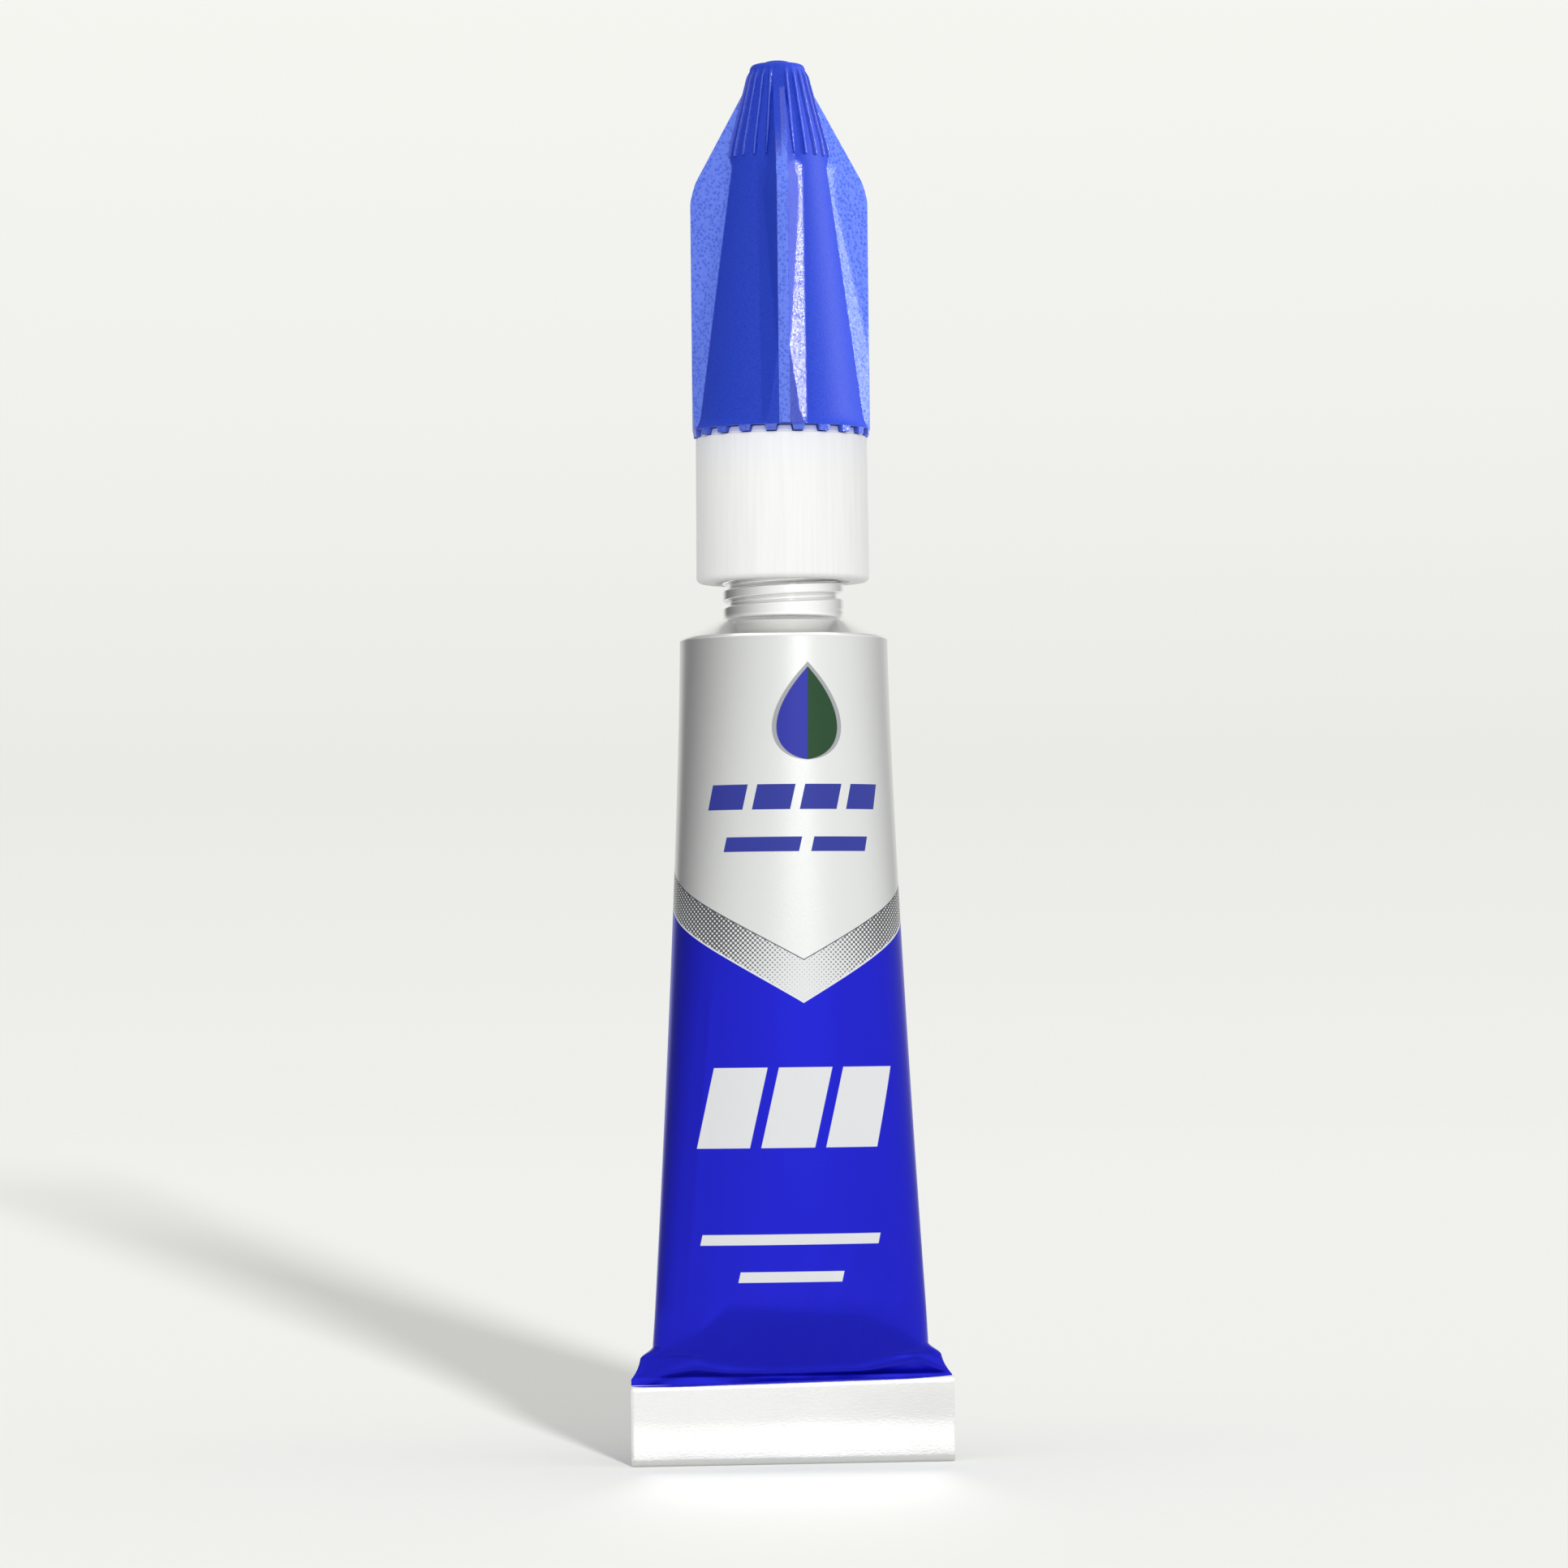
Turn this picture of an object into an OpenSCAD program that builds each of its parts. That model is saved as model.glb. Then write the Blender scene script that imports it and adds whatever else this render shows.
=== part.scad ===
// Collapsible aluminium glue tube with a rolled tail, a piercing screw-on nozzle and a winged cap.
// Millimetres, +Z up. The tail stands on z = 0, its width lies along X and the label faces -Y.
// The nozzle is drawn as sold, two turns above its seat, so the membrane in the neck is whole.

/* [Tube body] */
// Outside diameter of the round tube
tube_d = 12.0; // [10:0.1:14]
// Thickness of the side wall
wall_t = 0.11; // [0.08:0.01:0.16]
// Height of the shoulder edge above the foot
body_h = 47.7; // [40:0.1:60]
// Front-to-back depth of the tube at the top of the flared corners
hip_depth = 5.0; // [4:0.1:7]
// How strongly the side edges curve outwards towards the tail
flare_power = 1.33; // [1:0.01:1.8]

/* [Tail] */
// Height of the rolled tail
tail_h = 5.0; // [4:0.1:7]
// Height of the pinched slope above the tail
pinch_h = 4.5; // [3.5:0.1:6]
// Height of the flared corners above the tail
corner_h = 2.0; // [1.5:0.1:3]
// Thickness of the sealing compound inside the flattened wall
seal_t = 0.08; // [0.06:0.01:0.14]
// Gap between the rolled layers
layer_gap = 0.03; // [0.02:0.01:0.06]
// Radius of the outer corners of the foot
foot_r = 0.12; // [0.05:0.01:0.15]

/* [Shoulder and neck] */
// Height of the shoulder cone
shoulder_rise = 1.2; // [0.8:0.1:2]
// Thickness of the shoulder, measured upright
shoulder_t = 0.75; // [0.5:0.05:1]
// Height of the neck above the shoulder cone
neck_h = 6.6; // [5.5:0.1:9]
// Outside diameter of the neck thread
thread_d = 7.0; // [6.6:0.1:7.6]
// Thread pitch
pitch = 1.0; // [0.8:0.05:1.25]
// Height of the thread ridge
thread_depth = 0.35; // [0.25:0.01:0.4]
// Diameter of the opening through the neck
bore_d = 4.6; // [4:0.1:5]
// Thickness of the membrane that closes the neck
membrane_t = 0.1; // [0.06:0.01:0.2]

/* [Glue] */
// Height of the gel's surface below the shoulder edge
headspace = 8.8; // [6:0.1:16]

/* [Nozzle] */
// How far the nozzle screws down from the drawn position to its seat
drive_in = 2.0; // [1:0.1:2.4]
// Outside diameter of the collar
collar_d = 10.0; // [9.6:0.1:12]
// Thickness of the lip that holds the spout's flange down
lip_t = 0.75; // [0.5:0.05:1.2]
// Thickness of the spout's flange
flange_t = 0.9; // [0.6:0.05:1.4]
// Diameter of the spout where it leaves the collar
spout_base_d = 5.0; // [4.4:0.1:5.4]
// Diameter of the spout's tip
spout_tip_d = 1.7; // [1.4:0.1:2.2]
// Height of the spout above the collar
spout_h = 18.1; // [14:0.1:22]
// Diameter of the glue channel
channel_d = 0.9; // [0.6:0.05:1.1]
// Diameter of the piercing spike at its root
spike_d = 2.6; // [2:0.1:3.2]

/* [Cap] */
// Turn of the cap and its drive teeth about the tube's axis, in degrees
cap_turn = -5.2; // [-45:0.1:45]
// How far the cap's rim stands out past the collar
rim_over = 0.15; // [0:0.05:0.4]
// Height of the straight band at the rim
band_h = 1.45; // [0.8:0.05:2.5]
// Thickness of the cap wall
cap_wall = 0.9; // [0.6:0.05:1]
// Height of solid plastic above the space for the spout
roof_t = 3.4; // [2.6:0.1:5]
// Height from the rim to where the wings slant inwards
wing_straight_h = 13.85; // [8:0.05:16]
// Thickness of a wing at its outer edge
wing_t = 0.66; // [0.4:0.02:1]
// Draft of each wing flank in degrees
wing_draft = 20; // [8:1:24]
// Length of the small grip ribs
rib_len = 4.4; // [2:0.1:6]
// Width of a grip rib
rib_w = 0.3; // [0.2:0.02:0.4]
// Height of a grip rib above the cone
rib_h = 0.14; // [0.08:0.02:0.24]
// Distance from the top of the cap down to the grip ribs
rib_drop = 1.2; // [0.8:0.05:1.6]

/* [Drive teeth] */
// Number of lugs on the cap's rim and of teeth on the collar
tooth_n = 20; // [12:1:20]
// Width of a lug on the cap's rim
lug_w = 0.62; // [0.4:0.02:0.66]
// Width of a tooth on the collar
tooth_w = 0.48; // [0.3:0.02:0.5]
// Height of the lugs
lug_h = 0.35; // [0.2:0.05:0.5]
// Radial length of a tooth on the collar
tooth_len = 0.55; // [0.4:0.05:0.8]
// Distance of the teeth from the collar's edge
tooth_inset = 0.1; // [0.05:0.05:0.2]
// Distance of the lugs from the rim's edge
lug_inset = 0.05; // [0.02:0.01:0.2]

/* [Clearances] */
// Axial clearance where pieces seat on each other
seat_gap = 0.05; // [0.03:0.01:0.1]
// Clearance between the neck thread and the collar thread
thread_gap = 0.12; // [0.08:0.01:0.15]
// Radial clearance of the spout in the collar's lip
lip_gap = 0.06; // [0.03:0.01:0.1]
// Clearance round the sealing compound, the membrane and the gel
fill_gap = 0.02; // [0.01:0.01:0.025]
// Clearance between the spike and the whole membrane
spike_gap = 0.3; // [0.1:0.05:0.6]
// Clearance round the spout's tip inside the cap
tip_gap = 0.4; // [0.3:0.05:0.6]
// Height of the collar's lower edge above the shoulder when the nozzle is seated
skirt_gap = 0.35; // [0.1:0.05:1]

/* [Hidden] */
$fn = 64;

// Finish of the faceted surfaces
wall_segments = 40;
pinch_rings = 12;
body_rings = 7;
thread_segments = 36;

// Tail: the flattened sheet is two walls with the sealing compound between them
sheet_t = 2 * wall_t + seal_t;
layer_pitch = sheet_t + layer_gap;
tail_a = PI * tube_d / 4;
fold_r = layer_pitch / 2 + sheet_t / 2;
lap = 0.2;

// Side wall
tube_r = tube_d / 2;
hip_z = tail_h + corner_h;
ridge_z = tail_h + pinch_h;
hip_b = hip_depth / 2;
hip_a = half_width(hip_b);
pinch_slope = (wall_b(ridge_z) - sheet_t / 2) / pinch_h;
ridge_sharpness = 8;
edge_skin = 0.01;
// The corners spread in two ways at once: a short early swell and a late sharp flare
swell_share = 0.5;
swell_start = 0.05;
swell_run = 0.37;
corner_power = 2.5;

// Shoulder and neck
cavity_r = tube_r - wall_t - 2 * edge_skin;
thread_r = thread_d / 2;
root_r = thread_r - thread_depth;
bore_r = bore_d / 2;
cone_slope = shoulder_rise / (tube_r - thread_r);
shoulder_top = body_h + shoulder_rise;
neck_top = shoulder_top + neck_h;
skirt_h = shoulder_t + 2 * lap;
neck_chamfer = 0.25;
edge_r = 0.15;

// Thread ridges
flank_angle = 30;
ridge_tip_share = 0.22;
ridge_tip_w = ridge_tip_share * pitch;
ridge_embed = 0.15;
thread_lead = 0.45;
neck_thread_z = shoulder_top + thread_lead;
neck_thread_h = neck_h - 2 * thread_lead - ridge_tip_w;

// Nozzle
collar_z = shoulder_top + drive_in + skirt_gap;
flange_z = neck_top + drive_in + seat_gap;
lip_z = flange_z + flange_t + seat_gap;
collar_top = lip_z + lip_t;
collar_r = collar_d / 2;
collar_bore_r = thread_r + thread_gap;
collar_round = 0.3;
crest_r = root_r + thread_gap;
first_turn = ceil((collar_z + thread_lead - neck_thread_z) / pitch - 0.5);
collar_thread_z = neck_thread_z + pitch * (first_turn + 0.5);
collar_thread_h = flange_z - thread_lead - ridge_tip_w - collar_thread_z;
spout_tip_z = collar_top + spout_h;
spout_base_r = spout_base_d / 2;
spout_tip_r = spout_tip_d / 2;
spike_tip_z = neck_top + spike_gap;
spike_r = spike_d / 2;
channel_r = channel_d / 2;
spike_tip_wall = 0.1;
spike_tip_r = channel_r + spike_tip_wall;
mouth_taper = 0.1;
mouth_r = channel_r - mouth_taper;

// Cap
rim_z = collar_top + seat_gap + lug_h;
rim_r = collar_r + rim_over;
cone_z = rim_z + band_h;
tip_z = spout_tip_z + tip_gap;
tip_r = spout_tip_r + tip_gap;
cap_top = tip_z + roof_t;
cone_rate = (rim_r - tip_r - cap_wall) / (tip_z - cone_z);
cap_round = 0.3;
wing_inset = 0.02;
wing_r = rim_r - wing_inset;
wing_corner_z = rim_z + wing_straight_h;
wing_top = cap_top - roof_t / 2;
wing_top_r = cone_r(wing_top);
wing_round = 0.5;
rib_step = 15;
rib_top = cap_top - rib_drop;
tooth_out_r = collar_r - tooth_inset;
tooth_in_r = tooth_out_r - tooth_len;
lug_out_r = rim_r - lug_inset;

// Half depth and half width of a flattened tube whose perimeter stays that of the round one
function half_depth(a) = (PI * tube_d - 4 * a) / (2 * PI - 4);
function half_width(b) = (PI * tube_d - (2 * PI - 4) * b) / 4;

function ease(t) = let (c = max(0, min(1, t))) c * c * (3 - 2 * c);

// Half width of the wall at a height: a gentle flare, then the corners spread to the tail
function taper(z) = max(0, body_h - z) / (body_h - hip_z);
function spread(q) =
    swell_share * ease((q - swell_start) / swell_run) + (1 - swell_share) * pow(q, corner_power);
function wall_a(z) = z >= hip_z ? tube_r + (hip_a - tube_r) * pow(taper(z), flare_power)
    : hip_a + (tail_a - edge_skin - hip_a) * spread(min(1, (hip_z - z) / corner_h));

// Half depth of the wall: the front and the back run straight down to the corners
function wall_b(z) = z >= hip_z ? tube_r + (hip_b - tube_r) * taper(z)
    : max(half_depth(wall_a(z)), sheet_t / 2);

// The pinch leaves a slope on the front and the back, which meets the wall in a soft ridge
function pinch_depth(z) = sheet_t / 2 + pinch_slope * max(0, z - tail_h);
function soft_min(y, p) =
    y * p / pow(pow(abs(y), ridge_sharpness) + pow(p, ridge_sharpness), 1 / ridge_sharpness);
function pinch_shift(z) = layer_pitch * ease((ridge_z - z) / pinch_h);

// Point of a stadium with half width a and half depth b, at a share s of its perimeter from the front
function stadium(s, a, b) =
    let (flat = a - b, arc = PI * b, at = s * (4 * flat + 2 * arc))
    at < flat ? [at, -b]
    : at < flat + arc ? let (t = 180 * (at - flat) / arc - 90) [flat + b * cos(t), b * sin(t)]
    : at < 3 * flat + arc ? [2 * flat + arc - at, b]
    : at < 3 * flat + 2 * arc ?
        let (t = 180 * (at - 3 * flat - arc) / arc + 90) [b * cos(t) - flat, b * sin(t)]
    : [at - 4 * flat - 2 * arc, -b];

function wall_ring(z, inset) =
    let (a = wall_a(z) - inset, b = wall_b(z) - inset, p = pinch_depth(z) - inset, y0 = pinch_shift(z))
    [for (k = [0:wall_segments - 1])
        let (q = stadium(k / wall_segments, a, b))
        [q[0], y0 + soft_min(q[1], p), z]];

// Heights of the rings of a wall surface, closer together where the tail is pinched
function wall_heights(low, high) =
    let (mid = ridge_z + pinch_h / 4)
    concat(
        low < tail_h ? [low] : [],
        [for (k = [0:pinch_rings]) max(low, tail_h) + (mid - max(low, tail_h)) * k / pinch_rings],
        [for (k = [1:body_rings]) mid + (high - mid) * k / body_rings]);

// Triangles of a band of rings with n points each, listed anticlockwise from above
function band_faces(rings, n, start = 0) =
    [for (i = [0:rings - 2], j = [0:n - 1], upper = [0, 1])
        let (a = start + i * n + j, b = start + i * n + (j + 1) % n)
        upper == 1 ? [a, a + n, b + n] : [a, b + n, b]];

// Triangles between two loops of n points each
function loop_faces(from, to, n) =
    [for (j = [0:n - 1], second = [0, 1])
        let (k = (j + 1) % n)
        second == 1 ? [from + j, to + j, to + k] : [from + j, to + k, from + k]];

// The same triangles, facing the other way
function flipped(faces) = [for (f = faces) [f[2], f[1], f[0]]];

// Solid inside a stack of rings, closed by a fan at each end
module ring_stack(rings) {
    n = len(rings[0]);
    count = len(rings);
    low = count * n;
    ends = [for (r = [rings[0], rings[count - 1]]) [0, (r[n / 4][1] + r[3 * n / 4][1]) / 2, r[0][2]]];
    top = (count - 1) * n;
    fans = [for (j = [0:n - 1]) each [[low, j, (j + 1) % n], [low + 1, top + (j + 1) % n, top + j]]];
    polyhedron(points = concat([for (r = rings, p = r) p], ends),
        faces = concat(band_faces(count, n), fans));
}

// Wall between an outer and an inner stack of rings, open at both ends
module ring_shell(outer, inner) {
    n = len(outer[0]);
    count = len(outer);
    low = count * n;
    top = low - n;
    polyhedron(points = [for (r = concat(outer, inner), p = r) p],
        faces = concat(band_faces(count, n), flipped(band_faces(count, n, low)),
            flipped(loop_faces(0, low, n)), loop_faces(top, low + top, n)));
}

// Right-hand thread ridge with a trapezoid section, w_in wide at r_in and w_out wide at r_out
module thread_ridge(z0, height, r_in, w_in, r_out, w_out) {
    steps = floor(thread_segments * height / pitch);
    section = [[r_in, -w_in / 2], [r_out, -w_out / 2], [r_out, w_out / 2], [r_in, w_in / 2]];
    points = [for (k = [0:steps], q = section)
        let (t = 360 * k / thread_segments)
        [q[0] * cos(t), q[0] * sin(t), z0 + pitch * k / thread_segments + q[1]]];
    sides = [for (k = [0:steps - 1], j = [0:3], upper = [0, 1])
        let (a = 4 * k + j, b = 4 * k + (j + 1) % 4)
        upper == 1 ? [a, b + 4, a + 4] : [a, b, b + 4]];
    polyhedron(points = points,
        faces = concat(sides, [[3, 2, 1, 0], [for (j = [0:3]) 4 * steps + j]]));
}

// Section of the rolled sheet, t thick, seen along X: back layer, foot, front layer and tucked layer
module roll_section(t, corner) {
    low = sheet_t / 2 - t / 2;
    bend_z = tail_h - fold_r;
    translate([layer_pitch - t / 2, low + corner])
        square([t, tail_h - low - corner]);
    translate([-layer_pitch - t / 2, low + corner])
        square([t, bend_z - low - corner]);
    translate([-layer_pitch - t / 2 + corner, low])
        square([2 * layer_pitch + t - 2 * corner, t]);
    if (corner > 0)
        for (side = [-1, 1])
            translate([side * (layer_pitch + t / 2 - corner), low + corner])
                circle(r = corner);
    translate([-t / 2, sheet_t + layer_gap])
        square([t, bend_z - sheet_t - layer_gap]);
    intersection() {
        translate([-layer_pitch / 2, bend_z])
            difference() {
                circle(r = layer_pitch / 2 + t / 2);
                circle(r = layer_pitch / 2 - t / 2);
            }
        translate([-2 * layer_pitch, bend_z])
            square([3 * layer_pitch, fold_r]);
    }
}

// Stretch of the rolled sheet along X
module roll(width, t, corner) {
    translate([-width / 2, 0, 0])
        rotate([90, 0, 90])
            linear_extrude(width)
                roll_section(t, corner);
}

// Rolled sheet of the tail, two walls round the space of the sealing compound
module tail_roll() {
    difference() {
        roll(2 * tail_a, sheet_t, foot_r);
        roll(2 * (tail_a - wall_t - 2 * edge_skin), seal_t, 0);
    }
}

module side_wall() {
    heights = wall_heights(tail_h - lap / 2, body_h - skirt_h + lap);
    ring_shell([for (z = heights) wall_ring(z, 0)], [for (z = heights) wall_ring(z, wall_t - edge_skin)]);
}

module shoulder_and_neck() {
    under_z = body_h - shoulder_t;
    rotate_extrude()
        polygon(concat(
            [[cavity_r, body_h - skirt_h], [tube_r + edge_skin, body_h - skirt_h]],
            [for (t = [0:15:60])
                [tube_r + edge_skin - edge_r * (1 - cos(t)), body_h - edge_r * (1 - sin(t))]],
            [[thread_r, shoulder_top], [root_r, shoulder_top + thread_depth / 2],
             [root_r, neck_top - neck_chamfer], [root_r - neck_chamfer, neck_top], [bore_r, neck_top],
             [bore_r, under_z + (cavity_r - bore_r) * cone_slope], [cavity_r, under_z]]));
}

module tube_shell() {
    ridge_root_w = ridge_tip_w + 2 * (thread_depth + ridge_embed) * tan(flank_angle);
    color("silver") {
        shoulder_and_neck();
        thread_ridge(neck_thread_z, neck_thread_h,
            root_r - ridge_embed, ridge_root_w, thread_r, ridge_tip_w);
        tail_roll();
        side_wall();
    }
}

module neck_membrane() {
    color("gainsboro")
        translate([0, 0, neck_top - membrane_t])
            cylinder(h = membrane_t, r = bore_r - fill_gap);
}

module tail_sealant() {
    color("tan")
        roll(2 * (tail_a - wall_t - 2 * edge_skin - fill_gap), seal_t - 2 * fill_gap, 0);
}

module gel_fill() {
    color("lightcyan")
        ring_stack([for (z = wall_heights(tail_h + corner_h / 2, body_h - headspace))
            wall_ring(z, wall_t + fill_gap)]);
}

module nozzle_spout() {
    color("whitesmoke")
        rotate_extrude()
            polygon([[channel_r, spike_tip_z], [spike_tip_r, spike_tip_z], [spike_r, flange_z],
                [thread_r, flange_z], [thread_r, flange_z + flange_t], [spout_base_r, flange_z + flange_t],
                [spout_base_r, collar_top], [spout_tip_r, spout_tip_z], [mouth_r, spout_tip_z]]);
}

// One block of a toothed ring, between two radii
module ring_block(r_in, r_out, width, height) {
    translate([r_in, -width / 2, 0])
        cube([r_out - r_in, width, height]);
}

module collar_body() {
    rotate_extrude()
        polygon(concat(
            [[collar_bore_r, collar_z + collar_round], [collar_bore_r + collar_round, collar_z]],
            [for (t = [0:15:90])
                [collar_r - collar_round * (1 - sin(t)), collar_z + collar_round * (1 - cos(t))]],
            [[collar_r, collar_top], [spout_base_r + lip_gap, collar_top], [spout_base_r + lip_gap, lip_z],
             [collar_bore_r, lip_z]]));
}

module nozzle_collar() {
    ridge_root_w = ridge_tip_w + 2 * (collar_bore_r - crest_r + ridge_embed) * tan(flank_angle);
    color("white") {
        collar_body();
        thread_ridge(collar_thread_z, collar_thread_h, crest_r, ridge_tip_w,
            collar_bore_r + ridge_embed, ridge_root_w);
        for (k = [0:tooth_n - 1])
            rotate(cap_turn + 360 * k / tooth_n)
                translate([0, 0, collar_top - lap])
                    ring_block(tooth_in_r, tooth_out_r, tooth_w, lug_h + lap);
    }
}

function cone_r(z) = rim_r - cone_rate * (z - cone_z);

module cap_outside() {
    top_r = cone_r(cap_top);
    rotate_extrude()
        polygon(concat(
            [[0, rim_z], [rim_r, rim_z], [rim_r, cone_z]],
            [for (t = [0:15:90])
                [top_r - cap_round * (1 - cos(t)), cap_top - cap_round * (1 - sin(t))]],
            [[0, cap_top]]));
}

module cap_inside() {
    rotate_extrude()
        polygon([[0, rim_z - lap], [rim_r - cap_wall, rim_z - lap], [rim_r - cap_wall, cone_z],
            [tip_r, tip_z], [0, tip_z]]);
}

// Outline of a wing in radius and height, with its outer corner rounded
module wing_outline() {
    slant = atan2(wing_r - wing_top_r, wing_top - wing_corner_z);
    reach = wing_round * tan(slant / 2);
    polygon(concat(
        [[0, rim_z + band_h / 2], [wing_r, rim_z + band_h / 2]],
        [for (k = [0:4])
            let (t = slant * k / 4)
            [wing_r - wing_round * (1 - cos(t)), wing_corner_z - reach + wing_round * sin(t)]],
        [[wing_top_r, wing_top], [0, wing_top]]));
}

// Half thickness of a wing at the cap's axis, where its outer edge is at radius r
function wing_root(r) = wing_t / 2 + r * tan(wing_draft);

// Wedge that keeps a wing's edge equally thick up its straight part and its slant
module wing_wedge() {
    levels = [[rim_z, wing_r], [wing_corner_z, wing_r], [wing_top, wing_top_r]];
    points = [for (q = levels)
        each [[0, -wing_root(q[1]), q[0]], [q[1], -wing_t / 2, q[0]],
              [q[1], wing_t / 2, q[0]], [0, wing_root(q[1]), q[0]]]];
    top = 4 * (len(levels) - 1);
    polyhedron(points = points,
        faces = concat(band_faces(len(levels), 4),
            [[0, 1, 2], [0, 2, 3], [top, top + 2, top + 1], [top, top + 3, top + 2]]));
}

module wing() {
    intersection() {
        rotate([90, 0, 0])
            linear_extrude(2 * wing_root(wing_r) + lap, center = true)
                wing_outline();
        wing_wedge();
    }
}

module grip_rib() {
    foot_z = rib_top - rib_len;
    rotate([90, 0, 0])
        linear_extrude(rib_w, center = true)
            polygon([[0, foot_z], [cone_r(foot_z) + rib_h, foot_z],
                [cone_r(rib_top) + rib_h, rib_top - rib_h], [cone_r(rib_top), rib_top], [0, rib_top]]);
}

module cap() {
    color("royalblue")
        rotate(cap_turn)
            difference() {
                union() {
                    cap_outside();
                    for (k = [0:3])
                        rotate(90 * k)
                            wing();
                    for (t = [0:rib_step:359])
                        if (t % 90 != 0)
                            rotate(t)
                                grip_rib();
                    for (k = [0:tooth_n - 1])
                        rotate(360 * (k + 0.5) / tooth_n)
                            translate([0, 0, rim_z - lug_h])
                                ring_block(rim_r - cap_wall, lug_out_r, lug_w, lug_h + lap);
                }
                cap_inside();
            }
}

tube_shell();
neck_membrane();
tail_sealant();
gel_fill();
nozzle_spout();
nozzle_collar();
cap();
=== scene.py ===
import math

import bmesh
import bpy
import numpy as np
from mathutils import Matrix, Vector


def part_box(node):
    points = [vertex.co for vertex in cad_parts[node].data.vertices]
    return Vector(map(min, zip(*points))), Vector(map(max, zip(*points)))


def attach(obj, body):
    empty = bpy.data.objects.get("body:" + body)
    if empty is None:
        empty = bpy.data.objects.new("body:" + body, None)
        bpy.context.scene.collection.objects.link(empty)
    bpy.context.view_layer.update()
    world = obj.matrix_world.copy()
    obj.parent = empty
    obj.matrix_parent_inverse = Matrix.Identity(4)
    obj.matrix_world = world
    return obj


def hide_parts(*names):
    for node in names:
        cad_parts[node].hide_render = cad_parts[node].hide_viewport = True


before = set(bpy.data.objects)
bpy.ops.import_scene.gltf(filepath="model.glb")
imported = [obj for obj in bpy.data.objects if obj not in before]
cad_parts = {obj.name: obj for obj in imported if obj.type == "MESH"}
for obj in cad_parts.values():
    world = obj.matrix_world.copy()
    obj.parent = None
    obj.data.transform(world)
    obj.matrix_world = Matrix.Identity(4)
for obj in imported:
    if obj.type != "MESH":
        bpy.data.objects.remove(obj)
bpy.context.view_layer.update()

MM = 0.001
TAU = 2 * math.pi


def mm_box(node):
    """Lowest and highest corner of a CAD node, in millimetres."""
    return [np.array(corner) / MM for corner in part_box(node)]


# Sizes in millimetres, read from the CAD nodes where they show there
tube_high = mm_box("tube_shell")[1]
collar_low, collar_high = mm_box("nozzle_collar")
spout_low, spout_high = mm_box("nozzle_spout")
cap_low, cap_high = mm_box("cap")

# Tube wall and tail
EDGE_SKIN = 0.01
TAIL_A = tube_high[0]
TUBE_R = tube_high[1] - EDGE_SKIN
PERIMETER = TAU * TUBE_R
WALL_T = 0.11
BODY_H = 47.7
WALL_TOP = BODY_H - 0.2
TAIL_H = 5.0
SHEET_T = 0.30
LAYER = 0.33
TAIL_CUT = 0.15
HIP_Z = 7.0
HIP_B = 2.5
CORNER_H = 2.0
FLARE = 1.33
RIDGE_Z = 9.5
PINCH_TOP = 10.4
CRUMPLE_TOP = 16.0
CRUMPLE_DEPTH = 0.02
# A ring's curve is an ellipse at the top, and squarer by this power over this run below it
SQUARER, SQUARER_RUN = 0.25, 26.0
# A long crease runs down the left of the front, and leans to the left
CREASE_X, CREASE_Z = -4.85, 26.5
CREASE_LEFT, CREASE_RUN = 1.25, 15.0
CREASE_TOP, CREASE_FOOT = 30.0, 7.5
CREASE_DEPTH, CREASE_W = 0.05, 0.22
# How far the wall goes down behind the tail's upper edge
TUCK = 0.05
# The rolled tail's upper edge climbs a little to the right
TAIL_EDGE_Z, TAIL_EDGE_CLIMB = 4.79, 0.0175
# Ridges where the pinched wall folds, as x and z across the front and across the back
FRONT_RIDGE = [(-9.4, 5.9), (-8.4, 6.25), (-5.5, 7.8), (-3.9, 9.4), (3.9, 8.7), (6.3, 7.5), (7.7, 6.4),
               (9.4, 5.9)]
BACK_RIDGE = [(-9.4, 5.9), (-7.6, 6.6), (-5.0, 8.5), (2.5, 9.2), (5.6, 8.2), (8.2, 6.2), (9.4, 5.9)]
# The soft wave of the wall just above the rolled tail
WAVE_X = [-9.4, -8.95, -7.3, -5.67, -3.78, -1.0, 4.05, 7.2, 9.4]
WAVE_Z = [4.7, 4.75, 5.3, 5.68, 5.3, 5.15, 5.35, 6.06, 5.2]
WAVE_DEPTH, WAVE_H, WAVE_END = 0.16, 0.3, 9.3

# Shoulder and neck
BEVEL = 0.17
SHOULDER_TOP = 48.9
SHOULDER_INSIDE = 48.7
FILLET_R, FILLET_TOP = 4.05, 48.98
NECK_TOP = tube_high[2]
BORE_R = 2.3
BORE_FOOT = 49.0
PITCH = 1.0
THREAD_R = 3.5
ROOT_R = 3.15
NECK_THREAD_Z = 49.57
PLAIN_TOP = 49.36
# Half widths of a thread ridge at its tip and at its root: the collar's ridge fits the neck's groove
NECK_RIDGE = (0.24, 0.45)
COLLAR_RIDGE = (0.05, 0.22)

# Collar
COLLAR_R = collar_high[0]
COLLAR_Z = collar_low[2]
# The skirt is drawn a little lower than in the CAD, where the photo has it
SKIRT_Z = COLLAR_Z - 0.4
LUG_H = 0.35
COLLAR_TOP = collar_high[2] - LUG_H
COLLAR_BORE = 3.62
COLLAR_CREST = 3.27
LIP_Z = 58.5
LIP_BORE = 2.56
TEETH = 20
TOOTH_W = 0.82
# Radii across a tooth: its foot outside, three raised rows, its foot inside
TOOTH_RADII = (4.8, 4.78, 4.6, 4.4, 4.38)

# Spout
SPOUT_TIP = spout_high[2]
SPIKE_TIP = spout_low[2]
FLANGE_Z = 57.55
FLANGE_TOP = FLANGE_Z + 0.9
FLANGE_R = spout_high[0]

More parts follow.
